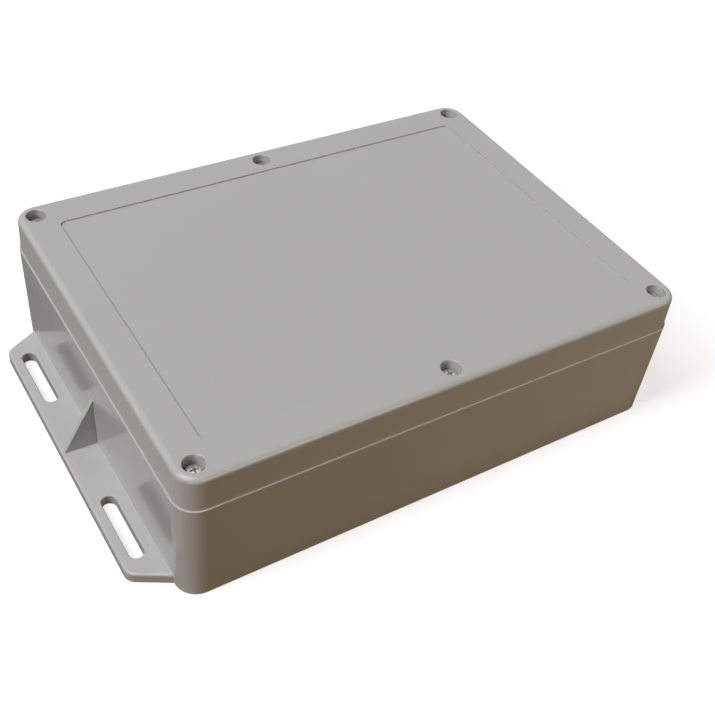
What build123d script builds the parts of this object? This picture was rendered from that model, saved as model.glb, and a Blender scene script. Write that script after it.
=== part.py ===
"""Flanged junction box: a moulded base with wall-mounting flanges and a screwed, gasketed lid.

Millimetres, +Z up. The origin is the middle of the underside; +X runs along the long side.
Every piece is modelled where it sits in the closed box and written to parts/NAME.step.
"""
import os
from math import atan, copysign, degrees

from build123d import *

# Body outline and heights
body_length = 263.0
body_width = 195.0
base_height = 56.2
lid_height = 18.0
corner_radius = 11.0
base_wall = 2.8
floor_thickness = 3.0
lid_top_thickness = 3.0
base_draft_inset = 0.6  # how far the foot of each base wall lies inside its rim
lid_draft_inset = 0.5  # how far the lid's skirt leans in over its height
rim_ledge = 0.6  # how far the base rim stands out past the lid's skirt
lid_top_edge_radius = 3.0
rim_edge_chamfer = 0.2
base_foot_chamfer = 0.3
floor_edge_chamfer = 1.5
panel_depth = 0.7
panel_margin_x = 17.7
panel_margin_y = 19.4
panel_corner_radius = 3.0

# Seal between base and lid: a tongue on the base presses a strip in the lid's groove
tongue_width = 1.2
tongue_height = 2.5
seal_gap = 0.15  # between the tongue's outer side and the lid's outer lip
inner_gap = 0.2  # between the tongue's inner side and the lid's inner rib
inner_rib_width = 1.0
gasket_thickness = 2.0
gasket_side_gap = 0.05

# Lid screws, captive in the lid, and the brass inserts that take them
screw_inset = 9.9  # from the outer faces of the body to the screw's axis
thread_diameter = 4.0
thread_pitch = 0.7
thread_clearance = 0.05
shank_diameter = 3.1
head_diameter = 7.0
head_height = 2.6
head_edge_chamfer = 0.6
recess_span = 4.0
recess_slot_width = 1.0
recess_depth = 1.8
counterbore_diameter = 9.4
counterbore_depth = 6.2
counterbore_edge_chamfer = 0.25
seat_thickness = 2.8
seat_hole_diameter = 4.6
point_chamfer = 0.6
insert_outer_diameter = 6.0
insert_length = 8.0
insert_press = 0.05
insert_sink = 0.4  # from the pillar's top face down to the insert
insert_mouth_chamfer = 0.3
screw_engagement = 5.0
point_room = 3.0  # free depth of the pillar's hole under the insert
ring_outer_diameter = 6.8
ring_thickness = 1.6
ring_bore_clearance = 0.35
ring_stop_gap = 0.2
pillar_wall = 1.6  # between the ring's bore in the lid and the seal line
pillar_root_radius = 3.0

# Mounting flanges at the two ends
flange_reach = 17.2
flange_thickness = 5.4
flange_half_width_at_wall = 86.0
flange_half_width_outside = 76.5
flange_corner_radius = 6.0
flange_root = 4.0  # how far the flange runs into the end wall's foot
flange_edge_radius = 1.2
slot_length = 37.5
slot_width = 6.8
slot_offset = 8.9  # from the end wall to the slots' centre line
slot_spacing = 104.0
slot_edge_radius = 0.6
gusset_thickness = 2.2
gusset_height = 28.6
gusset_setback = 1.2  # from the flange's outer edge to the gusset's tip
gusset_root = 1.2

# Board bosses on the floor
boss_diameter = 8.0
boss_height = 6.0
boss_hole_diameter = 3.0
boss_hole_depth = 7.0
boss_spacing_x = 190.0
boss_spacing_y = 120.0
boss_web_thickness = 1.5
boss_web_length = 6.0

# Sizes that follow from the ones above
half_length = body_length / 2
half_width = body_width / 2
total_height = base_height + lid_height
screw_x = half_length - screw_inset
screw_y = half_width - screw_inset
ring_bore_radius = ring_outer_diameter / 2 + ring_bore_clearance
pillar_radius = ring_bore_radius + pillar_wall + seal_gap + tongue_width
seat_top = total_height - counterbore_depth
seat_underside = seat_top - seat_thickness
insert_top = base_height - insert_sink
point_level = insert_top - screw_engagement
screw_travel = screw_engagement + insert_sink
ring_top = seat_underside - screw_travel - ring_stop_gap
thread_top = ring_top - ring_thickness
groove_roof = base_height + tongue_height + gasket_thickness
cavity_top = total_height - lid_top_thickness
base_draft = degrees(atan(base_draft_inset / base_height))
lid_draft = degrees(atan(lid_draft_inset / lid_height))
screw_places = {
    "front_left": (-screw_x, -screw_y),
    "front_middle": (0.0, -screw_y),
    "front_right": (screw_x, -screw_y),
    "back_left": (-screw_x, screw_y),
    "back_middle": (0.0, screw_y),
    "back_right": (screw_x, screw_y),
}


def box_between(x_ends, y_ends):
    """Rectangle between two values of x and two of y, seen from above."""
    centre = Pos((x_ends[0] + x_ends[1]) / 2, (y_ends[0] + y_ends[1]) / 2)
    return centre * Rectangle(abs(x_ends[1] - x_ends[0]), abs(y_ends[1] - y_ends[0]))


def pillar_footprint(x, y):
    """One screw pillar with the solid webs that join it to the walls beside it."""
    wall_y = copysign(half_width, y)
    footprint = Pos(x, y) * Circle(pillar_radius)
    if x == 0:
        return footprint + box_between((-pillar_radius, pillar_radius), (y, wall_y))
    wall_x = copysign(half_length, x)
    inner_x = x - copysign(pillar_radius, x)
    inner_y = y - copysign(pillar_radius, y)
    footprint += box_between((inner_x, wall_x), (y, wall_y))
    return footprint + box_between((x, wall_x), (inner_y, wall_y))


def cavity_profile():
    """The box's inner outline at the rim: the walls' inside, led round the six pillars."""
    inner_x = half_length - base_wall
    inner_y = half_width - base_wall
    outline = Rectangle(2 * inner_x, 2 * inner_y)
    for x, y in screw_places.values():
        outline -= pillar_footprint(x, y)
    roots = [
        corner
        for corner in outline.vertices()
        if abs(abs(corner.X) - inner_x) < 0.01 or abs(abs(corner.Y) - inner_y) < 0.01
    ]
    return fillet(roots, pillar_root_radius)


cavity = cavity_profile()


def cavity_offset(distance):
    """The cavity's outline moved outwards, or inwards where the distance is negative."""
    return offset(cavity, distance)


def upright(sketch, bottom, top, taper=0.0):
    """A sketch raised from one level to another, narrowing by the taper angle."""
    return Pos(0, 0, bottom) * extrude(sketch, top - bottom, taper=taper)


def drilled(x, y, radius, bottom, top):
    """Round cutter for a hole between two levels."""
    return upright(Pos(x, y) * Circle(radius), bottom, top)


def flange(side):
    """Mounting flange on one end, side -1 on the left and 1 on the right, with its gusset."""
    wall_x = half_length - base_draft_inset
    edge_x = wall_x + flange_reach
    plate = make_face(
        Polyline(
            (wall_x - flange_root, -flange_half_width_at_wall),
            (wall_x, -flange_half_width_at_wall),
            (edge_x, -flange_half_width_outside),
            (edge_x, flange_half_width_outside),
            (wall_x, flange_half_width_at_wall),
            (wall_x - flange_root, flange_half_width_at_wall),
            close=True,
        )
    )
    outer_corners = plate.vertices().group_by(Axis.X)[-1]
    plate = fillet(outer_corners, flange_corner_radius)
    body = upright(plate, 0, flange_thickness)
    top_rim = body.faces().sort_by(Axis.Z)[-1].edges().filter_by(lambda edge: edge.center().X > wall_x + 1)
    body = fillet(top_rim, flange_edge_radius)
    for slot_y in (-slot_spacing / 2, slot_spacing / 2):
        slot = Pos(wall_x + slot_offset, slot_y) * Rot(0, 0, 90) * SlotOverall(slot_length, slot_width)
        body -= upright(slot, 0, flange_thickness)
    slot_mouths = body.edges().group_by(Axis.Z)[-1].filter_by(
        lambda edge: abs(edge.center().X - wall_x - slot_offset) < slot_width / 2 + 0.01
        and abs(edge.center().Y) < flange_half_width_outside
    )
    body = fillet(slot_mouths, slot_edge_radius)
    gusset = make_face(
        Polyline(
            (wall_x - gusset_root, 0, flange_thickness / 2),
            (edge_x - gusset_setback, 0, flange_thickness / 2),
            (edge_x - gusset_setback, 0, flange_thickness),
            (wall_x, 0, flange_thickness + gusset_height),
            (wall_x - gusset_root, 0, flange_thickness + gusset_height),
            close=True,
        )
    )
    body += extrude(gusset, gusset_thickness / 2, both=True)
    return body if side > 0 else mirror(body, Plane.YZ)


def floor_boss(x, y):
    """Boss that carries a board or plate over the floor, with four short webs at its foot."""
    top = floor_thickness + boss_height
    boss = drilled(x, y, boss_diameter / 2, floor_thickness / 2, top)
    web_reach = boss_diameter / 2 + boss_web_length
    web = Polygon((0, 0), (web_reach, 0), (0, boss_height), align=None)
    for turn in range(0, 360, 90):
        upright_web = Rot(90, 0, 0) * extrude(web, boss_web_thickness / 2, both=True)
        boss += Pos(x, y, floor_thickness) * Rot(0, 0, turn) * upright_web
    return boss


def base_case():
    """Base: tapered walls, floor, six pillars, seal tongue, flanges and floor bosses."""
    rim = RectangleRounded(body_length, body_width, corner_radius)
    shell = Pos(0, 0, base_height) * extrude(rim, -base_height, taper=base_draft)
    shell = chamfer(shell.faces().sort_by(Axis.Z)[-1].edges(), rim_edge_chamfer)
    shell = chamfer(shell.faces().sort_by(Axis.Z)[0].edges(), base_foot_chamfer)
    shell += flange(-1) + flange(1)
    room = Pos(0, 0, base_height) * extrude(cavity, floor_thickness - base_height, taper=base_draft)
    room = chamfer(room.faces().sort_by(Axis.Z)[0].edges(), floor_edge_chamfer)
    shell -= room
    shell += upright(cavity_offset(tongue_width) - cavity, base_height, base_height + tongue_height)
    for x in (-boss_spacing_x / 2, 0, boss_spacing_x / 2):
        for y in (-boss_spacing_y / 2, boss_spacing_y / 2):
            shell += floor_boss(x, y)
            boss_top = floor_thickness + boss_height
            shell -= drilled(x, y, boss_hole_diameter / 2, boss_top - boss_hole_depth, boss_top)
    for x, y in screw_places.values():
        insert_foot = insert_top - insert_length
        shell -= drilled(x, y, insert_outer_diameter / 2, insert_foot, base_height)
        shell -= drilled(x, y, thread_diameter / 2, insert_foot - point_room, insert_foot)
    return shell


def lid():
    """Lid: leaning skirt, groove and inner rib for the seal, six screw wells, sunk top panel."""
    skirt_foot = RectangleRounded(
        body_length - 2 * rim_ledge, body_width - 2 * rim_ledge, corner_radius - rim_ledge
    )
    shell = upright(skirt_foot, base_height, total_height, lid_draft)
    shell = fillet(shell.faces().sort_by(Axis.Z)[-1].edges(), lid_top_edge_radius)
    panel = RectangleRounded(
        body_length - 2 * panel_margin_x, body_width - 2 * panel_margin_y, panel_corner_radius
    )
    shell -= upright(panel, total_height - panel_depth, total_height)
    shell -= upright(cavity_offset(-inner_gap - inner_rib_width), base_height, cavity_top)
    groove = cavity_offset(tongue_width + seal_gap) - cavity_offset(-inner_gap)
    shell -= upright(groove, base_height, groove_roof)
    for x, y in screw_places.values():
        well = drilled(x, y, counterbore_diameter / 2, seat_top, total_height)
        well += drilled(x, y, seat_hole_diameter / 2, seat_underside, seat_top)
        well += drilled(x, y, ring_bore_radius, base_height, seat_underside)
        shell -= well
    mouths = shell.edges().filter_by(GeomType.CIRCLE).filter_by(
        lambda edge: abs(edge.radius - counterbore_diameter / 2) < 0.01
        and abs(edge.center().Z - total_height) < 0.01
    )
    return chamfer(mouths, counterbore_edge_chamfer)


def lid_gasket():
    """Sealing strip that fills the roof of the lid's groove and lies on the base's tongue."""
    outer = cavity_offset(tongue_width + seal_gap - gasket_side_gap)
    inner = cavity_offset(-inner_gap + gasket_side_gap)
    return upright(outer - inner, base_height + tongue_height, groove_roof)


def turned(profile):
    """A half outline in x and z, turned about the Z axis."""
    return revolve(make_face(Polyline(*[(x, 0, z) for x, z in profile], close=True)), Axis.Z)


def lid_screw():
    """Captive cylinder-head screw on the Z axis: waisted shank, thread at the point, cross recess."""
    thread_radius = thread_diameter / 2 - thread_clearance
    head_radius = head_diameter / 2
    head_top = seat_top + head_height
    screw = turned(
        [
            (0, point_level),
            (thread_radius - point_chamfer, point_level),
            (thread_radius, point_level + point_chamfer),
            (thread_radius, thread_top),
            (shank_diameter / 2, thread_top),
            (shank_diameter / 2, seat_top),
            (head_radius, seat_top),
            (head_radius, head_top - head_edge_chamfer),
            (head_radius - head_edge_chamfer, head_top),
            (0, head_top),
        ]
    )
    slot = Rectangle(recess_span, recess_slot_width)
    cross = slot + Rot(0, 0, 90) * slot
    return screw - upright(cross, head_top - recess_depth, head_top)


def screw_ring():
    """Ring on the screw's waist that keeps the screw in the lid."""
    inner_radius = shank_diameter / 2 + thread_clearance
    outer_radius = ring_outer_diameter / 2
    return upright(Circle(outer_radius) - Circle(inner_radius), thread_top, ring_top)


def screw_insert():
    """Brass threaded insert pressed into a pillar, with a lead-in at its mouth."""
    outer_radius = insert_outer_diameter / 2 + insert_press
    bore_radius = thread_diameter / 2
    foot = insert_top - insert_length
    return turned(
        [
            (bore_radius, foot),
            (outer_radius, foot),
            (outer_radius, insert_top),
            (bore_radius + insert_mouth_chamfer, insert_top),
            (bore_radius, insert_top - insert_mouth_chamfer),
        ]
    )


def build_pieces():
    """Every piece of the closed box by its name."""
    pieces = {"base_case": base_case(), "lid": lid(), "lid_gasket": lid_gasket()}
    screw = lid_screw()
    ring = screw_ring()
    insert = screw_insert()
    for place, (x, y) in screw_places.items():
        pieces["lid_screw_" + place] = Pos(x, y) * screw
        pieces["screw_ring_" + place] = Pos(x, y) * ring
        pieces["screw_insert_" + place] = Pos(x, y) * insert
    return pieces


os.makedirs("parts", exist_ok=True)
for name, piece in build_pieces().items():
    export_step(piece, f"parts/{name}.step")
    size = piece.bounding_box().size
    print(f"{name}: {size.X:.1f} x {size.Y:.1f} x {size.Z:.1f} mm, volume {piece.volume:.0f} mm3")
print(f"screw travel {screw_travel:.2f} mm, {screw_travel / thread_pitch:.3f} turns")
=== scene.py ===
# %% [markdown]
# # A moulded junction box in Blender
#
# The object is a light grey plastic box for wiring. A flanged base carries a lid on six screws, and a rubber
# strip between them keeps the water out. The solids come from a CAD model and keep their shapes here. Blender
# adds what a CAD model leaves out: finishes, real screw heads, threads, knurls, light and a camera.
#
# The first cell loads the CAD model as a fixed frame. Every length from now on is in metres, and every piece
# is made where it belongs, so nothing has to be fitted afterwards.

# %% Load the frame
import math

import bmesh
import bpy
from mathutils import Matrix, Vector


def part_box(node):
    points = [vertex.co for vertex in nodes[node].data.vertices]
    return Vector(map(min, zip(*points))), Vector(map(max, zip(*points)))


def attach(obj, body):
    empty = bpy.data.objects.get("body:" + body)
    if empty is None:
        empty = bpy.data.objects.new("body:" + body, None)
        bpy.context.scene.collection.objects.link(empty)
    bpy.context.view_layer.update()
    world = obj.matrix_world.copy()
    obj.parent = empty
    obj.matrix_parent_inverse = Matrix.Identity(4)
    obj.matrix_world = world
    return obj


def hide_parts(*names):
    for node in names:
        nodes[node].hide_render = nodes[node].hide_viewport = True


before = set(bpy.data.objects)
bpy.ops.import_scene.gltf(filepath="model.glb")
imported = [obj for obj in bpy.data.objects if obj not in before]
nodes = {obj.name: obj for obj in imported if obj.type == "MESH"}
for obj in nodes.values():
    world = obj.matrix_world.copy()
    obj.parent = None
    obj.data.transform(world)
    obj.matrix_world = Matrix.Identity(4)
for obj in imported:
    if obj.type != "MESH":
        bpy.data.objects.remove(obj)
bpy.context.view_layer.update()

# %% [markdown]
# ## Where the screws are
#
# The CAD model knows each screw's place, so the script reads it from the frame instead of repeating numbers.
# A node's box gives the screw's axis and its levels. Half the distance between the outer screws is kept too,
# because the metal finish later needs to know where each screw's middle is.

# %% Places and levels of the screws
MM = 0.001
SCREW_NODES = sorted(name for name in nodes if name.startswith("lid_screw_"))
PLACES = [name.removeprefix("lid_screw_") for name in SCREW_NODES]


def middle_of(node):
    """The upright axis of a round CAD node, as x and y."""
    low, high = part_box(node)
    return (low.x + high.x) / 2, (low.y + high.y) / 2


screw_axes = {place: middle_of("lid_screw_" + place) for place in PLACES}
screw_low, screw_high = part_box("lid_screw_" + PLACES[0])
ring_low, ring_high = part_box("screw_ring_" + PLACES[0])
insert_low, insert_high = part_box("screw_insert_" + PLACES[0])
SCREW_STEP_X = max(x for x, y in screw_axes.values())
SCREW_STEP_Y = max(y for x, y in screw_axes.values())
print("screws at x", round(SCREW_STEP_X, 4), "y", round(SCREW_STEP_Y, 4), "for", PLACES)

# %% [markdown]
# ## One class for node trees
#
# Shaders and geometry trees are both made of nodes and links. Written out by hand, a short formula becomes a
# page of link calls. The class below wraps one socket, and its operators add the Math node for us, so a
# formula stays a formula. Any other node comes from one method: its kind, its settings, then what feeds its
# sockets.

# %% A socket that can be calculated with
class Wire:
    """An output socket of a node tree: + - * / with wires or numbers add Math nodes."""

    def __init__(self, tree, socket=None):
        self.tree = tree
        self.socket = socket

    def node(self, kind, settings=None, inputs=None, output=0):
        """Adds a node, sets it up, feeds its sockets and returns one of its outputs."""
        made = self.tree.nodes.new(kind)
        for name, value in (settings or {}).items():
            if name == "stops":
                self.set_stops(made.color_ramp, value)
            else:
                setattr(made, name, value)
        for key, value in (inputs or {}).items():
            if isinstance(value, Wire):
                self.tree.links.new(value.socket, made.inputs[key])
            else:
                made.inputs[key].default_value = value
        return Wire(self.tree, made.outputs[output]) if len(made.outputs) else Wire(self.tree)

    @staticmethod
    def set_stops(ramp, stops):
        """Gives a colour ramp its stops, each a position and a grey level."""
        for position, level in stops[2:]:
            ramp.elements.new(position)
        for element, (position, level) in zip(ramp.elements, stops):
            element.position = position
            element.color = (level, level, level, 1)

    def math(self, operation, *operands):
        """One Math node on any mix of wires and numbers."""
        return self.node("ShaderNodeMath", {"operation": operation}, dict(enumerate(operands)))

    def __add__(self, other):
        return self.math("ADD", self, other)

    def __radd__(self, other):
        return self.math("ADD", other, self)

    def __sub__(self, other):
        return self.math("SUBTRACT", self, other)

    def __rsub__(self, other):
        return self.math("SUBTRACT", other, self)

    def __mul__(self, other):
        return self.math("MULTIPLY", self, other)

    def __rmul__(self, other):
        return self.math("MULTIPLY", other, self)

    def __truediv__(self, other):
        return self.math("DIVIDE", self, other)

    def __rtruediv__(self, other):
        return self.math("DIVIDE", other, self)


print("wires ready")

# %% [markdown]
# ## Helpers that every finish uses
#
# Each material starts the same way: a Principled shader, with its constants set on its own sockets, and a
# texture space in metres. Noise comes up again and again, so it gets a short name. Its scale is written as
# the size of one blotch, which is easier to picture than a frequency.

# %% Start a material
def new_finish(name, **constants):
    """A node material with a Principled shader: the material, the shader and the object space."""
    material = bpy.data.materials.new(name)
    material.use_nodes = True
    start = Wire(material.node_tree)
    shader = next(node for node in material.node_tree.nodes if node.type == "BSDF_PRINCIPLED")
    for socket, value in constants.items():
        shader.inputs[socket.replace("_", " ")].default_value = value
    place = start.node("ShaderNodeTexCoord", output="Object")
    return material, shader, place


def feed(shader, socket, wire):
    """Links a wire to one of the shader's sockets."""
    wire.tree.links.new(wire.socket, shader.inputs[socket])


def coordinate(place, axis):
    """One coordinate, X, Y or Z, of a place."""
    return place.node("ShaderNodeSeparateXYZ", inputs={0: place}, output=axis)


def blotches(place, size, detail=2.0, roughness=0.5):
    """Noise from 0 to 1 whose blotches are about as large as size, in metres."""
    settings = {"Vector": place, "Scale": 1 / size, "Detail": detail, "Roughness": roughness}
    return place.node("ShaderNodeTexNoise", inputs=settings)


def tinted(place, low, high, mask):
    """A colour between two colours, led by a mask from 0 to 1."""
    inputs = {"Factor": mask, 6: (*low, 1), 7: (*high, 1)}
    return place.node("ShaderNodeMix", {"data_type": "RGBA"}, inputs, output=2)


def bumped(place, height, depth):
    """A surface normal from a height map whose full range stands for depth, in metres."""
    inputs = {"Height": height, "Distance": depth, "Strength": 1.0}
    return place.node("ShaderNodeBump", inputs=inputs, output="Normal")


print("finish helpers ready")

# %% [markdown]
# ## The case plastic
#
# The box is glossy plastic. Up close such a moulding is never one flat grey: the colour drifts a little with
# the flow of the melt, the gloss is uneven, and the surface has a very slight waviness. Three scales of
# noise give those, and a fourth one is the fine grain left by the tool. All of it is faint, because in the
# photograph the box reads as one clean grey.

# %% Case plastic
GREY_LOW = (0.452, 0.452, 0.443)
GREY_HIGH = (0.476, 0.476, 0.467)

case_plastic, shader, place = new_finish("case plastic", IOR=1.5, Specular_IOR_Level=0.5)
flow = blotches(place, 0.060, 3.0)
grain = blotches(place, 0.0007, 2.0)
waviness = blotches(place, 0.014, 1.0)
rubbed = blotches(place, 0.022, 5.0, 0.65)
feed(shader, "Base Color", tinted(place, GREY_LOW, GREY_HIGH, flow))
feed(shader, "Roughness", 0.11 + 0.05 * rubbed + 0.01 * grain)
feed(shader, "Normal", bumped(place, waviness * 0.97 + grain * 0.03, 0.00002))
print(case_plastic.name, "has", len(case_plastic.node_tree.nodes), "nodes")

# %% [markdown]
# ## Rubber for the gasket and the rings
#
# The sealing strip is soft dark rubber with a dull, slightly mottled skin. The little rings under the lid
# are a harder rubber: darker and a bit shinier. Both come from one function, which keeps the two finishes
# related and shows what differs between them.

# %% Rubber finishes
def rubber(name, low, high, roughness):
    """Dull rubber with a mottled skin."""
    material, shader, place = new_finish(name, IOR=1.52)
    mottle = blotches(place, 0.004, 4.0, 0.6)
    feed(shader, "Base Color", tinted(place, low, high, mottle))
    feed(shader, "Roughness", roughness + 0.15 * mottle)
    feed(shader, "Normal", bumped(place, blotches(place, 0.0004, 2.0), 0.00004))
    return material


gasket_rubber = rubber("gasket rubber", (0.022, 0.022, 0.023), (0.040, 0.040, 0.041), 0.55)
ring_rubber = rubber("ring rubber", (0.012, 0.012, 0.012), (0.025, 0.025, 0.025), 0.40)
print(gasket_rubber.name, "and", ring_rubber.name)

# %% [markdown]
# ## Turned metal
#
# Screws and inserts are turned, so their faces carry fine rings about their own axis. The texture space is
# the same for the whole box, so the rings need the distance to the nearest screw's axis. The screws stand on
# a regular pattern: folding y about the middle and taking whole steps out of x brings all six onto one spot.

# %% Distance to the nearest screw axis
def distance_to_screw(place):
    """Distance from the nearest screw's axis, for screws on the box's regular pattern."""
    x, y = coordinate(place, "X"), coordinate(place, "Y")
    whole_steps = x.math("ROUND", x / SCREW_STEP_X)
    across = x - whole_steps * SCREW_STEP_X
    along = y.math("ABSOLUTE", y) - SCREW_STEP_Y
    return x.math("SQRT", across * across + along * along)


TURNING_STEP = 0.16 * MM


def turned_metal(name, low, high, roughness):
    """Bright metal with fine turning rings and a few duller patches."""
    material, shader, place = new_finish(name, Metallic=1.0)
    radius = distance_to_screw(place)
    rings = 0.5 + 0.5 * radius.math("SINE", radius * (2 * math.pi / TURNING_STEP))
    patches = blotches(place, 0.0016, 4.0, 0.6)
    feed(shader, "Base Color", tinted(place, low, high, patches))
    feed(shader, "Roughness", roughness + 0.12 * patches + 0.05 * rings)
    feed(shader, "Normal", bumped(place, 0.7 * rings + 0.3 * patches, 0.000006))
    return material


screw_steel = turned_metal("screw steel", (0.56, 0.55, 0.53), (0.70, 0.69, 0.67), 0.36)
insert_brass = turned_metal("insert brass", (0.60, 0.42, 0.17), (0.78, 0.58, 0.27), 0.24)
print(screw_steel.name, "and", insert_brass.name)

# %% [markdown]
# ## Finishes onto the CAD nodes
#
# A CAD node already has a material slot for each of its faces. Its shape is right, so only the slot's
# material is changed. The screws and inserts get the metal too, although detailed pieces will stand in for
# them, because the plain ones are still what a physics model shows.

# %% Dress the CAD nodes
FINISH_OF_NODE = {
    "base_case": case_plastic,
    "lid": case_plastic,
    "lid_gasket": gasket_rubber,
    "screw_ring_": ring_rubber,
    "lid_screw_": screw_steel,
    "screw_insert_": insert_brass,
}


def dress(node, material):
    """Gives every slot of a CAD node one material."""
    if not node.material_slots:
        node.data.materials.append(material)
    for slot in node.material_slots:
        slot.material = material


for prefix, material in FINISH_OF_NODE.items():
    for name, node in nodes.items():
        if name == prefix or (prefix.endswith("_") and name.startswith(prefix)):
            dress(node, material)
print("dressed", len(nodes), "nodes")

# %% [markdown]
# ## Turned bodies
#
# Screws and inserts start as a half outline that is turned about an axis. The function takes the outline as
# radius and height, from the bottom up the outside, and closes it at the poles. More segments than the eye
# needs would only make the file heavy: 48 keep a 7 mm head round in a close view.

# %% Turn an outline
SEGMENTS = 48


def turned_body(name, outline, closed=False):
    """A mesh object turned about the Z axis from (radius, height) points, poles included."""
    mesh = bmesh.new()
    rings = []
    for radius, height in outline:
        if radius == 0:
            rings.append([mesh.verts.new((0, 0, height))])
            continue
        turns = [2 * math.pi * step / SEGMENTS for step in range(SEGMENTS)]
        circle = [(radius * math.cos(turn), radius * math.sin(turn), height) for turn in turns]
        rings.append([mesh.verts.new(point) for point in circle])
    pairs = list(zip(rings, rings[1:] + rings[:1])) if closed else list(zip(rings, rings[1:]))
    for lower, upper in pairs:
        for step in range(SEGMENTS):
            after = step + 1
            corners = [lower[step % len(lower)], lower[after % len(lower)]]
            corners += [upper[after % len(upper)], upper[step % len(upper)]]
            mesh.faces.new(list(dict.fromkeys(corners)))
    bmesh.ops.recalc_face_normals(mesh, faces=mesh.faces)
    data = bpy.data.meshes.new(name)
    mesh.to_mesh(data)
    mesh.free()
    made = bpy.data.objects.new(name, data)
    bpy.context.scene.collection.objects.link(made)
    return made


def arc(centre, radius, start_degrees, end_degrees, steps):
    """Points of an arc as (radius, height) pairs."""
    points = []
    for step in range(steps + 1):
        angle = math.radians(start_degrees + (end_degrees - start_degrees) * step / steps)
        points.append((centre[0] + radius * math.cos(angle), centre[1] + radius * math.sin(angle)))
    return points


print("turning ready")

# %% [markdown]
# ## A helical ridge with Geometry Nodes
#
# A thread is a small profile that follows a helix, which is exactly what Curve to Mesh does. The tree has
# named inputs for the helix's radius, height and turns and for the ridge's size. The curve's normals are set
# to Z Up, otherwise the profile would slowly roll over on its way round. The same tree later makes the
# thread inside each insert, with other numbers.

# %% The ridge tree
def geometry_tree(name, inputs):
    """An empty geometry tree with named inputs: the tree, a wire from each input and their identifiers."""
    tree = bpy.data.node_groups.new(name, "GeometryNodeTree")
    tree.interface.new_socket("Geometry", in_out="OUTPUT", socket_type="NodeSocketGeometry")
    identifiers = {}
    for title, kind in inputs.items():
        identifiers[title] = tree.interface.new_socket(title, in_out="INPUT", socket_type=kind).identifier
    group_input = tree.nodes.new("NodeGroupInput")
    wires = {title: Wire(tree, group_input.outputs[title]) for title in inputs}
    return tree, wires, identifiers


def finish_tree(tree, geometry, material):
    """Ends a tree in Realize Instances and Set Material, and wires its output."""
    realized = geometry.node("GeometryNodeRealizeInstances", inputs={0: geometry})
    coloured = geometry.node("GeometryNodeSetMaterial", inputs={"Geometry": realized, "Material": material})
    output = tree.nodes.new("NodeGroupOutput")
    tree.links.new(coloured.socket, output.inputs[0])


FLOAT, INTEGER, MATERIAL = "NodeSocketFloat", "NodeSocketInt", "NodeSocketMaterial"
STEPS_A_TURN = 28
ridge_tree, ridge, ridge_ids = geometry_tree(
    "helical ridge",
    {
        "Radius": FLOAT,
        "Height": FLOAT,
        "Turns": FLOAT,
        "Ridge Size": FLOAT,
        "Tip Angle": FLOAT,
        "Material": MATERIAL,
    },
)
root = Wire(ridge_tree)
helix = root.node(
    "GeometryNodeCurveSpiral",
    inputs={
        "Resolution": STEPS_A_TURN,
        "Rotations": ridge["Turns"],
        "Start Radius": ridge["Radius"],
        "End Radius": ridge["Radius"],
        "Height": ridge["Height"],
    },
)
upright_helix = root.node("GeometryNodeSetCurveNormal", {"mode": "Z_UP"}, {"Curve": helix})
triangle = root.node(
    "GeometryNodeCurvePrimitiveCircle",
    inputs={"Resolution": 3, "Radius": ridge["Ridge Size"]},
)
tip_rotation = root.node("ShaderNodeCombineXYZ", inputs={"Z": ridge["Tip Angle"]})
turned_triangle = root.node(
    "GeometryNodeTransform",
    inputs={"Geometry": triangle, "Rotation": tip_rotation},
)
ribbon = root.node(
    "GeometryNodeCurveToMesh",
    inputs={"Curve": upright_helix, "Profile Curve": turned_triangle, "Fill Caps": True},
)
finish_tree(ridge_tree, ribbon, ridge["Material"])
print(ridge_tree.name, "takes", list(ridge_ids))

# %% [markdown]
# ## From a tree to a plain mesh
#
# The export keeps meshes, not instances or live trees. So each tree is run once on an empty object, the
# result is copied out as a mesh, and the tree is taken off again. The inputs go in before the first run.

# %% Run a tree once
def evaluated_mesh(thing):
    """The plain mesh of an object with its modifiers applied."""
    bpy.context.view_layer.update()
    evaluated = thing.evaluated_get(bpy.context.evaluated_depsgraph_get())
    return bpy.data.meshes.new_from_object(evaluated)


def grown_mesh(name, tree, identifiers, values):
    """The plain mesh that a geometry tree makes from the given inputs."""
    holder = bpy.data.objects.new(name + " holder", bpy.data.meshes.new(name + " holder"))
    bpy.context.scene.collection.objects.link(holder)
    modifier = holder.modifiers.new(name, "NODES")
    modifier.node_group = tree
    for title, value in values.items():
        modifier[identifiers[title]] = value
    mesh = evaluated_mesh(holder)
    holder.modifiers.clear()
    bpy.data.objects.remove(holder)
    return mesh


def outward(mesh):
    """Turns the faces of a closed mesh outwards."""
    work = bmesh.new()
    work.from_mesh(mesh)
    bmesh.ops.recalc_face_normals(work, faces=work.faces)
    work.to_mesh(mesh)
    work.free()


def shifted(mesh, x, y, z):
    """Moves a mesh's points."""
    mesh.transform(Matrix.Translation((x, y, z)))
    return mesh


print("trees can be run")

# %% [markdown]
# ## The lid screw
#
# A cylinder-head machine screw with a cross recess holds the lid. Its head is low, with a soft shoulder,
# its waist is thinner than the thread, and a rubber ring on the waist keeps it in the lid. The head's
# outline comes from the CAD node's box, so it seats where the CAD screw does.

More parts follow.
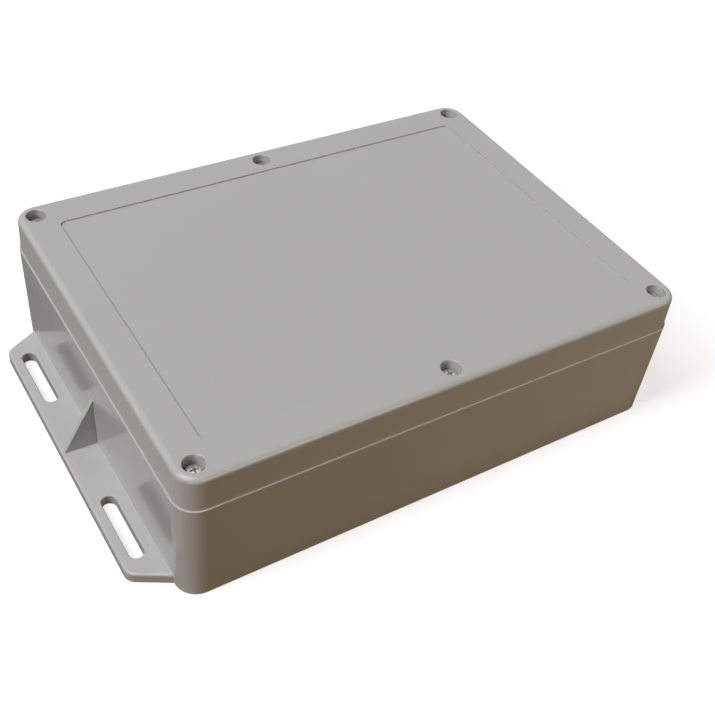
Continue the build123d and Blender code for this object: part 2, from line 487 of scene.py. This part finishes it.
# %% Sizes of the lid screw
HEAD_HEIGHT = 2.6 * MM
HEAD_RADIUS = (screw_high.x - screw_low.x) / 2
WAIST_RADIUS = 1.55 * MM
THREAD_RADIUS = 1.95 * MM
THREAD_PITCH = 0.7 * MM
THREAD_DEPTH = 0.40 * MM
POINT_CHAMFER = 0.6 * MM
SEAT_LEVEL = screw_high.z - HEAD_HEIGHT
THREAD_TOP = ring_low.z
POINT_LEVEL = screw_low.z
SEAT_CHAMFER = 0.15 * MM
SHOULDER_RADIUS = 0.75 * MM
SHOULDER_DEGREES = 75
SHOULDER_STEPS = 6
DOME_DROP = 0.30 * MM
DOME_SHARES = (0.75, 0.5, 0.25)
core_radius = THREAD_RADIUS - THREAD_DEPTH

head_outline = [
    (0, POINT_LEVEL),
    (core_radius - POINT_CHAMFER / 2, POINT_LEVEL),
    (core_radius, POINT_LEVEL + POINT_CHAMFER / 2),
    (core_radius, THREAD_TOP),
    (WAIST_RADIUS, THREAD_TOP),
    (WAIST_RADIUS, SEAT_LEVEL),
    (HEAD_RADIUS - SEAT_CHAMFER, SEAT_LEVEL),
    (HEAD_RADIUS, SEAT_LEVEL + SEAT_CHAMFER),
]
shoulder_centre = (HEAD_RADIUS - SHOULDER_RADIUS, screw_high.z - DOME_DROP - SHOULDER_RADIUS)
head_outline += arc(shoulder_centre, SHOULDER_RADIUS, 0, SHOULDER_DEGREES, SHOULDER_STEPS)
rim_radius, rim_level = head_outline[-1]
for share in DOME_SHARES:
    head_outline.append((rim_radius * share, screw_high.z - (screw_high.z - rim_level) * share**2))
head_outline.append((0, screw_high.z))
print("head", round(HEAD_RADIUS * 2 / MM, 2), "mm across, seat at", round(SEAT_LEVEL / MM, 2), "mm")

# %% [markdown]
# ## The cross recess
#
# The recess narrows towards its bottom, so that a driver's wings wedge in it. One cross outline is drawn
# with twelve corners and lofted down to a smaller copy. A Boolean cuts it out of the head. The cutter rises
# a little above the head, because two faces on one level would leave the Boolean guessing.

# %% Cut the recess
RECESS_DEPTH = 1.8 * MM
CUTTER_RISE = 0.3 * MM

# The cross's span and the width of its wings: at the recess's floor, at its mouth and at the cutter's top.
FLOOR_CROSS = (1.9 * MM, 0.50 * MM)
MOUTH_CROSS = (4.0 * MM, 0.90 * MM)
CUTTER_CROSS = (4.35 * MM, 0.95 * MM)


def cross_outline(span, width, level):
    """The twelve corners of a cross, counter-clockwise."""
    far, near = span / 2, width / 2
    quarter = [(near, near), (near, far), (-near, far)]
    corners = []
    for turn in range(4):
        spin = Matrix.Rotation(turn * math.pi / 2, 3, "Z")
        corners += [spin @ Vector((x, y, level)) for x, y in quarter]
    return corners


def cross_cutter(top):
    """A tapered cross whose open end stands above the head."""
    mesh = bmesh.new()
    levels = [
        cross_outline(*FLOOR_CROSS, top - RECESS_DEPTH),
        cross_outline(*MOUTH_CROSS, top),
        cross_outline(*CUTTER_CROSS, top + CUTTER_RISE),
    ]
    rings = [[mesh.verts.new(corner) for corner in corners] for corners in levels]
    for lower, upper in zip(rings, rings[1:]):
        for step in range(len(lower)):
            after = (step + 1) % len(lower)
            mesh.faces.new([lower[step], lower[after], upper[after], upper[step]])
    mesh.faces.new(rings[0])
    mesh.faces.new(rings[-1])
    bmesh.ops.recalc_face_normals(mesh, faces=mesh.faces)
    data = bpy.data.meshes.new("cross cutter")
    mesh.to_mesh(data)
    mesh.free()
    return bpy.data.objects.new("cross cutter", data)


plain_screw = turned_body("plain screw", head_outline)
cutter = cross_cutter(screw_high.z)
bpy.context.scene.collection.objects.link(cutter)
cut = plain_screw.modifiers.new("recess", "BOOLEAN")
cut.operation = "DIFFERENCE"
cut.solver = "EXACT"
cut.object = cutter
screw_mesh = evaluated_mesh(plain_screw)
bpy.data.objects.remove(cutter)
bpy.data.objects.remove(plain_screw)
print("screw with recess:", len(screw_mesh.polygons), "faces")

# %% [markdown]
# ## The thread
#
# The ridge tree now runs with the thread's real numbers: M4 has 0.7 mm between turns. The helix stops about
# half a millimetre short of both ends of the threaded part, as a rolled thread does.

# %% Grow the thread
# The triangle is 1.5 times as high as its size, so this share sinks its foot a little into the core.
RIDGE_SHARE = 0.72

thread_length = THREAD_TOP - POINT_LEVEL - POINT_CHAMFER - THREAD_PITCH / 2
ridge_size = THREAD_DEPTH * RIDGE_SHARE
thread_mesh = grown_mesh(
    "screw thread",
    ridge_tree,
    ridge_ids,
    {
        "Radius": THREAD_RADIUS - ridge_size,
        "Height": thread_length,
        "Turns": thread_length / THREAD_PITCH,
        "Ridge Size": ridge_size,
        "Tip Angle": 0.0,
        "Material": screw_steel,
    },
)
outward(thread_mesh)
shifted(thread_mesh, 0, 0, POINT_LEVEL + POINT_CHAMFER)
widest = max(math.hypot(vertex.co.x, vertex.co.y) for vertex in thread_mesh.vertices)
print("thread:", len(thread_mesh.polygons), "faces, radius", round(widest / MM, 3), "mm")

# %% [markdown]
# ## Six finished screws
#
# Head and thread become one mesh, and a copy of it moves to each place. Each copy rides on its own screw
# body, so that it turns and rises with it, and stands in for that place's CAD screw.

# %% Place the screws
SHARP_EDGE = math.radians(35)


def merged(name, meshes, material):
    """One mesh object from several meshes, smooth but for its sharp edges."""
    work = bmesh.new()
    for mesh in meshes:
        work.from_mesh(mesh)
    for face in work.faces:
        face.smooth = True
        face.material_index = 0
    for edge in work.edges:
        edge.smooth = len(edge.link_faces) == 2 and edge.calc_face_angle(0) < SHARP_EDGE
    data = bpy.data.meshes.new(name)
    work.to_mesh(data)
    work.free()
    data.materials.append(material)
    made = bpy.data.objects.new(name, data)
    bpy.context.scene.collection.objects.link(made)
    return made


def copies_at_screws(name, model, body_of, node_of):
    """Copies a model made on the Z axis to all six screw axes."""
    for place, (x, y) in screw_axes.items():
        piece = bpy.data.objects.new(f"{name}_{place}", model.data.copy())
        bpy.context.scene.collection.objects.link(piece)
        shifted(piece.data, x, y, 0)
        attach(piece, body_of(place))
        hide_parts(node_of(place))
    bpy.data.objects.remove(model)


screw_model = merged("screw model", [screw_mesh, thread_mesh], screw_steel)
copies_at_screws(
    "cross_screw",
    screw_model,
    lambda place: "screw_" + place,
    lambda place: "lid_screw_" + place,
)
print("screws placed:", len(screw_axes))

# %% [markdown]
# ## Knurls round the inserts
#
# A pressed-in insert holds by its knurl: rows of small ridges round two bands, with a groove between them.
# Repeating one small ridge round a circle is a job for Instance on Points. Each point of the circle knows
# which way is outwards from its position, and that direction turns the ridge.

# %% The knurl tree
knurl_tree, knurl, knurl_ids = geometry_tree(
    "knurl band",
    {
        "Radius": FLOAT,
        "Height": FLOAT,
        "Ridges": INTEGER,
        "Ridge Width": FLOAT,
        "Ridge Depth": FLOAT,
        "Material": MATERIAL,
    },
)
root = Wire(knurl_tree)
circle = root.node("GeometryNodeMeshCircle", inputs={"Vertices": knurl["Ridges"], "Radius": knurl["Radius"]})
outwards = root.node(
    "FunctionNodeAlignRotationToVector",
    {"axis": "X"},
    {"Vector": root.node("GeometryNodeInputPosition")},
)
ridge_box = root.node(
    "GeometryNodeMeshCube",
    inputs={
        "Size": root.node(
            "ShaderNodeCombineXYZ",
            inputs={"X": knurl["Ridge Depth"], "Y": knurl["Ridge Width"], "Z": knurl["Height"]},
        )
    },
)
on_edge = root.node(
    "GeometryNodeTransform",
    inputs={"Geometry": ridge_box, "Rotation": (0, 0, math.pi / 4)},
)
band = root.node(
    "GeometryNodeInstanceOnPoints",
    inputs={"Points": circle, "Instance": on_edge, "Rotation": outwards},
)
finish_tree(knurl_tree, band, knurl["Material"])
print(knurl_tree.name, "takes", list(knurl_ids))

# %% [markdown]
# ## The brass inserts
#
# The body is turned with a groove round its middle and a lead-in at the mouth. Two knurl bands and an inner
# thread go on it. The bore is a little wider than the thread's tips, so the helix stands out from it as a
# cut thread does.

# %% Build and place the inserts
OUTER_RADIUS = (insert_high.x - insert_low.x) / 2
KNURL_DEPTH = 0.30 * MM
BORE_RADIUS = 2.28 * MM
MOUTH_CHAMFER = 0.35 * MM
GROOVE_HALF = 0.8 * MM
GROOVE_DEPTH = 0.45 * MM
EDGE_BREAK = 0.2 * MM
GROOVE_SLOPE = 0.1 * MM
BAND_GAP = 0.1 * MM
BAND_MARGINS = 0.5 * MM
KNURL_RIDGES = 32

# A square on edge is 1.4 times as wide as its side, so this share makes it as deep as the knurl.
SQUARE_SHARE = 0.7

body_radius = OUTER_RADIUS - KNURL_DEPTH / 2
groove_radius = body_radius - GROOVE_DEPTH
insert_middle = (insert_low.z + insert_high.z) / 2
insert_outline = [
    (BORE_RADIUS, insert_low.z),
    (body_radius - EDGE_BREAK, insert_low.z),
    (body_radius, insert_low.z + EDGE_BREAK),
    (body_radius, insert_middle - GROOVE_HALF),
    (groove_radius, insert_middle - GROOVE_HALF + GROOVE_SLOPE),
    (groove_radius, insert_middle + GROOVE_HALF - GROOVE_SLOPE),
    (body_radius, insert_middle + GROOVE_HALF),
    (body_radius, insert_high.z - EDGE_BREAK),
    (body_radius - EDGE_BREAK, insert_high.z),
    (BORE_RADIUS + MOUTH_CHAMFER, insert_high.z),
    (BORE_RADIUS, insert_high.z - MOUTH_CHAMFER),
]
plain_insert = turned_body("plain insert", insert_outline, closed=True)
insert_parts = [plain_insert.data.copy()]
bpy.data.objects.remove(plain_insert)

band_height = (insert_high.z - insert_low.z) / 2 - GROOVE_HALF - BAND_MARGINS
band_offset = GROOVE_HALF + band_height / 2 + BAND_GAP
for band_middle in (insert_middle - band_offset, insert_middle + band_offset):
    band_mesh = grown_mesh(
        "knurl",
        knurl_tree,
        knurl_ids,
        {
            "Radius": body_radius,
            "Height": band_height,
            "Ridges": KNURL_RIDGES,
            "Ridge Width": KNURL_DEPTH * SQUARE_SHARE,
            "Ridge Depth": KNURL_DEPTH * SQUARE_SHARE,
            "Material": insert_brass,
        },
    )
    insert_parts.append(shifted(band_mesh, 0, 0, band_middle))

inner_ridge = 0.20 * MM
inner_length = insert_high.z - insert_low.z - 2 * THREAD_PITCH
inner_thread = grown_mesh(
    "insert thread",
    ridge_tree,
    ridge_ids,
    {
        "Radius": BORE_RADIUS,
        "Height": inner_length,
        "Turns": inner_length / THREAD_PITCH,
        "Ridge Size": inner_ridge,
        "Tip Angle": math.pi,
        "Material": insert_brass,
    },
)
outward(inner_thread)
insert_parts.append(shifted(inner_thread, 0, 0, insert_low.z + THREAD_PITCH))
insert_model = merged("insert model", insert_parts, insert_brass)
copies_at_screws(
    "knurled_insert",
    insert_model,
    lambda place: "base",
    lambda place: "screw_insert_" + place,
)
print("inserts placed:", len(screw_axes))

# %% [markdown]
# ## Floor and background
#
# The photograph's background is plain white, yet the box's glossy walls look as if they mirror something
# darker, perhaps a table. One floor can do both, because Light Path tells a shader which kind of ray is
# asking. Camera rays see a floor that keeps the box's soft shadow and turns plain white further off. Mirror
# rays see a grey table with a painted shadow across the box's width, and browner in front of it. Rays that
# only carry light see a brown table, which gives the low front of the box its warm tone. The brown table
# and the mirrored one in front are painted darker towards the left, a painted shade on the box's front.

# %% The floor's plane
FLOOR_SIZE = 6.0
FLOOR_LEVEL = -0.0002

reach = FLOOR_SIZE / 2
floor_corners = [(-reach, -reach), (reach, -reach), (reach, reach), (-reach, reach)]
floor_mesh = bpy.data.meshes.new("floor")
floor_mesh.from_pydata([(x, y, FLOOR_LEVEL) for x, y in floor_corners], [], [(0, 1, 2, 3)])
floor = bpy.data.objects.new("floor", floor_mesh)
bpy.context.scene.collection.objects.link(floor)
print("floor", FLOOR_SIZE, "m wide")

# %% Shaders that can be blended
def diffuse(start, colour):
    """A dull shader of one colour."""
    return start.node("ShaderNodeBsdfDiffuse", inputs={"Color": (*colour, 1)})


def glowing(start, strength):
    """A white shader that gives off light, where a strength of 1 is white."""
    return start.node("ShaderNodeEmission", inputs={"Color": (1, 1, 1, 1), "Strength": strength})


def blended(factor, first, second):
    """The first shader where the factor is 0, the second where it is 1."""
    return first.node("ShaderNodeMixShader", inputs={0: factor, 1: first, 2: second})


def seen_rays(start):
    """Two masks: rays from mirrors, and all rays that show a surface, so camera, mirror and glass rays."""
    outputs = start.node("ShaderNodeLightPath").socket.node.outputs
    kinds = ("Camera", "Glossy", "Transmission")
    camera, mirror, glass = [Wire(start.tree, outputs[f"Is {kind} Ray"]) for kind in kinds]
    return mirror, camera.math("MINIMUM", camera + mirror + glass, 1.0)


def ramp(wire, low, high):
    """0 below low, 1 above high and a straight line between."""
    settings = {"operation": "MULTIPLY_ADD", "use_clamp": True}
    return wire.node("ShaderNodeMath", settings, {0: wire, 1: 1 / (high - low), 2: -low / (high - low)})


print("shader helpers ready")

# %% The floor's paint
FLANGE_EDGE = 0.149
FRONT_WALL = 0.098
SIDEWAYS_REACH = 0.2
FADE_START, FADE_END = 0.45, 0.95
SHADOW_SHADE = (0.36, 0.36, 0.36)
SHADOW_GLOW = 0.74
GREY_AROUND = (0.35, 0.31, 0.27)
# The next grey is a painted shadow: mirrors see the table dark across the box's width.
PAINTED_SHADOW_GREY = (0.14, 0.14, 0.135)
# The left colours are painted shade: darker and browner, they shade the box's front towards its left.
SHADED_MIRRORED_LEFT = (0.07, 0.035, 0.01)
MIRRORED_RIGHT = (0.38, 0.32, 0.25)
SHADED_BROWN_LEFT = (0.14, 0.055, 0.005)
BROWN_RIGHT = (0.36, 0.25, 0.155)

floor_paint = bpy.data.materials.new("floor paint")
floor_paint.use_nodes = True
floor_paint.node_tree.nodes.clear()
start = Wire(floor_paint.node_tree)
place = start.node("ShaderNodeTexCoord", output="Object")
x, y = coordinate(place, "X"), coordinate(place, "Y")
# A ramp from left to right that fades the painted shade on the tables.
shade_fading_rightwards = ramp(x, -SIDEWAYS_REACH, SIDEWAYS_REACH)
in_front = y.math("LESS_THAN", y, -FRONT_WALL)
# The strip across the box's width, where mirrors see a painted shadow on the table.
painted_shadow_strip = x.math("LESS_THAN", x.math("ABSOLUTE", x), FLANGE_EDGE)
far_away = ramp(x.math("SQRT", x * x + y * y), FADE_START, FADE_END)

shaded, glow = diffuse(start, SHADOW_SHADE), glowing(start, SHADOW_GLOW)
shadow_keeping = start.node("ShaderNodeAddShader", inputs={0: shaded, 1: glow})
white_floor = blended(far_away, shadow_keeping, glowing(start, 1.0))
grey_table_and_shadow = blended(painted_shadow_strip, diffuse(start, GREY_AROUND), diffuse(start, PAINTED_SHADOW_GREY))
front_table_and_shade = blended(shade_fading_rightwards, diffuse(start, SHADED_MIRRORED_LEFT), diffuse(start, MIRRORED_RIGHT))
mirrored_table_and_shade = blended(in_front, grey_table_and_shadow, front_table_and_shade)
brown_table_and_shade = blended(shade_fading_rightwards, diffuse(start, SHADED_BROWN_LEFT), diffuse(start, BROWN_RIGHT))

mirror_ray, seen_ray = seen_rays(start)
seen_floor = blended(mirror_ray, white_floor, mirrored_table_and_shade)
start.node("ShaderNodeOutputMaterial", inputs={"Surface": blended(seen_ray, brown_table_and_shade, seen_floor)})
floor_mesh.materials.append(floor_paint)
print("floor paint has", len(floor_paint.node_tree.nodes), "nodes")

# %% [markdown]
# ## World and lamps
#
# In the photograph the right inner walls of the screw wells are bright and the left ones dark, and the sunk
# panel has a dark line along its left edge only. So the main light comes from the left, at a little over 50
# degrees. It is narrow, to keep it off the front wall, and mirrors don't see it. They see a wide, weak lamp
# instead, which draws the broad soft gleam on the front corner. A warm lamp low in front stands in for the
# room. The world is white to the camera and in mirrors, and a dim warm grey otherwise.

# %% World
ROOM_COLOUR = (0.60, 0.48, 0.36)
ROOM_STRENGTH = 0.12

world = bpy.data.worlds.new("studio")
bpy.context.scene.world = world
world.use_nodes = True
world.node_tree.nodes.clear()
start = Wire(world.node_tree)
mirror_ray, seen_ray = seen_rays(start)
sky = start.node("ShaderNodeBackground", inputs={"Color": (1, 1, 1, 1), "Strength": 1.0})
room = start.node("ShaderNodeBackground", inputs={"Color": (*ROOM_COLOUR, 1), "Strength": ROOM_STRENGTH})
start.node("ShaderNodeOutputWorld", inputs={"Surface": blended(seen_ray, room, sky)})
print("world ready")

# %% Lamps
LIT_SPOT = Vector((0, 0, 0.03))


def softbox(name, location, sizes, power, colour=(1, 1, 1)):
    """An area lamp, with its width and height, that points at the box and isn't seen itself."""
    lamp = bpy.data.lights.new(name, "AREA")
    lamp.shape = "RECTANGLE"
    lamp.size, lamp.size_y = sizes
    lamp.energy = power
    lamp.color = colour
    holder = bpy.data.objects.new(name, lamp)
    bpy.context.scene.collection.objects.link(holder)
    holder.location = location
    holder.rotation_euler = (LIT_SPOT - Vector(location)).to_track_quat("-Z", "Y").to_euler()
    holder.visible_camera = False
    return holder


key = softbox("key", (-3.57, 0.10, 4.82), (1.4, 4.2), 357.0, (0.965, 0.983, 1.0))
key.visible_glossy = False
gleam = softbox("gleam", (-2.38, -0.60, 3.22), (3.6, 3.6), 120.0)
gleam.visible_diffuse = False
softbox("front fill", (0.28, -1.32, 0.28), (0.7, 0.7), 3.75, (1.0, 0.81, 0.55))

# %% [markdown]
# ## The camera
#
# The camera stands in front of the box's left corner and looks down on it. Its place, lens and slight roll
# come from lining up the box's edges and screws with the photograph, whose pixels are taken as square. It has
# no shift, so other views can turn it freely.

# %% Camera
CAMERA_PLACE = Vector((-0.23645, -0.33786, 0.39115))
CAMERA_AIM = Vector((-0.00915, -0.03157, 0.03600))
CAMERA_LENS = 54.313
CAMERA_ROLL = 7.425

camera_data = bpy.data.cameras.new("camera")
camera_data.lens = CAMERA_LENS
camera_data.sensor_width = 36.0
camera_data.clip_start = 0.01
camera_data.clip_end = 50.0
camera = bpy.data.objects.new("camera", camera_data)
bpy.context.scene.collection.objects.link(camera)
looking = (CAMERA_AIM - CAMERA_PLACE).to_track_quat("-Z", "Y").to_matrix()
rolled = looking @ Matrix.Rotation(math.radians(CAMERA_ROLL), 3, "Z")
camera.location = CAMERA_PLACE
camera.rotation_euler = rolled.to_euler()
bpy.context.scene.camera = camera
bpy.context.scene.view_settings.view_transform = "Standard"
print("camera", round((CAMERA_AIM - CAMERA_PLACE).length, 3), "m from its aim")

# %% [markdown]
# ## Keep the sizes and finish
# The last line updates the view layer.

# %% Finish
bpy.context.view_layer.update()
